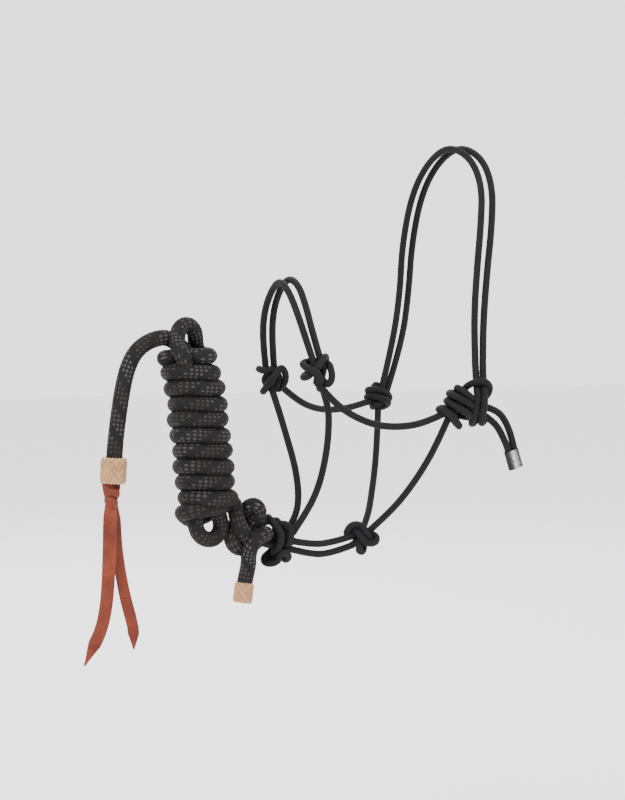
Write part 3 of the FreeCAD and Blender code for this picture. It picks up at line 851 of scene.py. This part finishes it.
def strap(name, spine, widths, thick, lean, twist, across=None):
    """A leather strap along a spine, rounded at its long edges, its cut edges in their own tone."""
    line, along = resampled(spline_line(spine), 1.1)
    share = along / along[-1]

    def width_way(f):
        turn = math.radians(np.interp(f, *twist))
        return np.array(across or (math.cos(turn), math.sin(turn), 0), float)

    rings = []
    for point, t, f in zip(line, tangents(line), share):
        wide = np.interp(f, *widths)
        flat = width_way(f)
        flat = flat - t * (flat @ t)
        flat /= np.linalg.norm(flat)
        face = np.cross(flat, t)
        ring = []
        half, deep = wide / 2, thick / 2
        round_ = min(EDGE_ROUND, deep * 0.9, half * 0.8)
        for sx, sy, start in ((1, 1, 0), (-1, 1, 90), (-1, -1, 180), (1, -1, 270)):
            for corner in (0, 30, 60, 90):
                a = math.radians(start + corner)
                ring.append((sx * (half - round_) + round_ * math.cos(a),
                             sy * (deep - round_) + round_ * math.sin(a)))
        full = []
        for number, ((ax, ay), (bx, by)) in enumerate(zip(ring, ring[1:] + ring[:1])):
            full.append((ax, ay))
            if number in (3, 11):     # the strap's two broad faces
                full += [(ax + (bx - ax) * k / FACE_STEPS, ay + (by - ay) * k / FACE_STEPS)
                         for k in range(1, FACE_STEPS)]
        cup = lean * (1 - 0.4 * f)
        rings.append([point + flat * x + face * (y + cup * (x / (half + 0.01)) ** 2)
                      for x, y in full])
    piece = lofted(name, rings, LATIGO)
    piece.data.materials.append(CUT_EDGE)
    normals = np.array([p.normal for p in piece.data.polygons])
    centres = np.array([p.center for p in piece.data.polygons]) / MM
    for polygon, normal, centre in zip(piece.data.polygons, normals, centres):
        nearest = int(np.argmin(np.linalg.norm(line - centre, axis=1)))
        if abs(normal @ width_way(share[nearest])) > CUT_FACING:
            polygon.material_index = 1
    return piece


UPRIGHT = (0.05, 0.0, 1.0)   # a fold's width stands up, where it goes round the others
left_tongue = strap(
    "popper_left_strap",
    [(-340, -1, -311), (-341.8, -3, -328), (-342.4, -3.5, -350), (-343, -2, -382), (-345, -2, -405),
     (-350, -3, -425), (-359, -4, -441), (-366, -4, -455)],
    ((0, 0.1, 0.3, 0.75, 0.86, 0.97, 1), (8.5, 11.6, 11.8, 11.2, 11.5, 3.2, 1.4)), 2.6, 0.5,
    ((0, 0.3, 0.7, 1), (-20, -25, -18, -8)))
right_tongue = strap(
    "popper_right_strap",
    [(-335.5, 2, -311), (-334, 3, -330), (-333, 3.5, -352), (-330, 3, -376), (-326, 2, -398),
     (-321, 1.5, -416), (-318, 1, -430), (-318.5, 1, -444)],
    ((0, 0.06, 0.14, 0.75, 0.9, 0.98, 1), (4.5, 6, 9, 10.5, 10, 3.0, 1.4)), 2.6, -0.4,
    ((0, 0.3, 0.7, 1), (-10, -5, -20, -28)))
for piece, body, node in ((left_tongue, "popper_left", "popper_left_tongue"),
                          (right_tongue, "popper_right", "popper_right_tongue")):
    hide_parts(node)
    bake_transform(piece)

neck = strap("popper_knot_neck",
             [(-342.2, 2.9, -290.8), (-342.3, 1.5, -297.7), (-341.8, -0.2, -303.7),
             (-340.5, -0.5, -309), (-340.5, -0.3, -315.1)],
             ((0, 0.6, 1), (9.2, 9.6, 8)), 4.4, 0.6, ((0, 1), (-25, -30)))
neck_back = strap("popper_knot_back",
                  [(-333.2, 4, -290), (-333, 4, -297), (-333.5, 3.5, -303), (-336, 2.5, -309),
                   (-337, 2.2, -314)],
                  ((0, 0.5, 1), (7.4, 7.2, 8)), 3.4, -0.5, ((0, 1), (-15, -20)))
fold = strap("popper_knot_fold",
             [(-336.7, 4.9, -308.7), (-341.6, 5.6, -307.7), (-344.1, 2.4, -306),
             (-343.2, -1.6, -304.8), (-339.7, -4.5, -304.5), (-335.7, -4.9, -305.5),
             (-333, -2.2, -306.5), (-333.1, 2.1, -307.7), (-336.7, 4.9, -308.7)],
             ((0, 0.5, 1), (6.5, 7.6, 6.5)), 3.0, 1.9, ((0, 1), (0, 0)), UPRIGHT)
fold_low = strap("popper_knot_fold_low",
                 [(-337.6, 5.1, -313.1), (-341.7, 5.3, -312.5), (-344, 2.1, -311.7),
                 (-343.8, -1.9, -312.2), (-341.2, -4.8, -313.4), (-337.2, -5.2, -314.4),
                 (-334.6, -2, -314.8), (-334.8, 2.6, -313.8), (-338.4, 5.4, -313.5)],
                 ((0, 0.5, 1), (7, 8.6, 7)), 3.0, 1.9, ((0, 1), (0, 0)), UPRIGHT)
for piece in (neck, neck_back, fold, fold_low):
    ride(piece, "lead_tail", "popper_leather")
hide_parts("popper_knot")


# ---------------------------------------------------------------- ferrule

SLEEVE_HALF = (7.1, 4.0)      # half its width and half its depth


def ferrule():
    """An open sleeve pressed over both tails: two lobes with a shallow dent between them."""
    start = np.array([10.9, -87, -273.3])
    lean = math.atan2(0.31, 0.95)
    axis = np.array([math.sin(lean), 0, -math.cos(lean)])
    wide = np.array([math.cos(lean), 0, math.sin(lean)])
    deep = np.array([0, -1, 0])
    angle = round_angles(96)
    sections = []
    for along, grow in ((0.4, -0.75), (0.0, -0.45), (-0.05, -0.2), (0.25, -0.02), (0.8, 0),
                        (5, 0.0), (5.5, -0.16), (6.4, -0.16), (6.9, 0), (11, 0), (11.5, -0.16),
                        (12.4, -0.16), (12.9, 0), (16.2, 0), (16.75, -0.02),
                        (17.05, -0.2), (17.0, -0.45), (16.6, -0.75), (12.0, -0.8)):
        half_wide, half_deep = SLEEVE_HALF[0] + grow, SLEEVE_HALF[1] + grow
        x = half_wide * np.sign(np.cos(angle)) * np.abs(np.cos(angle)) ** 0.72
        y = half_deep * np.sign(np.sin(angle)) * np.abs(np.sin(angle)) ** 0.80
        y *= 1 - 0.13 * np.exp(-(x / 2.2) ** 2)
        sections.append(start + along * axis + x[:, None] * wide + y[:, None] * deep)
    piece = lofted("tail_ferrule_sleeve", sections, NICKEL, (False, False))
    return ride(piece, "crown_tails", "ferrule_metal", "tail_ferrule")


sleeve = ferrule()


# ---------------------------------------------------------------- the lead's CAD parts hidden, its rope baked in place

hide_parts("lead_knot", "lead_stub", "lead_hank", "lead_tail")
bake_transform(lead_rope)
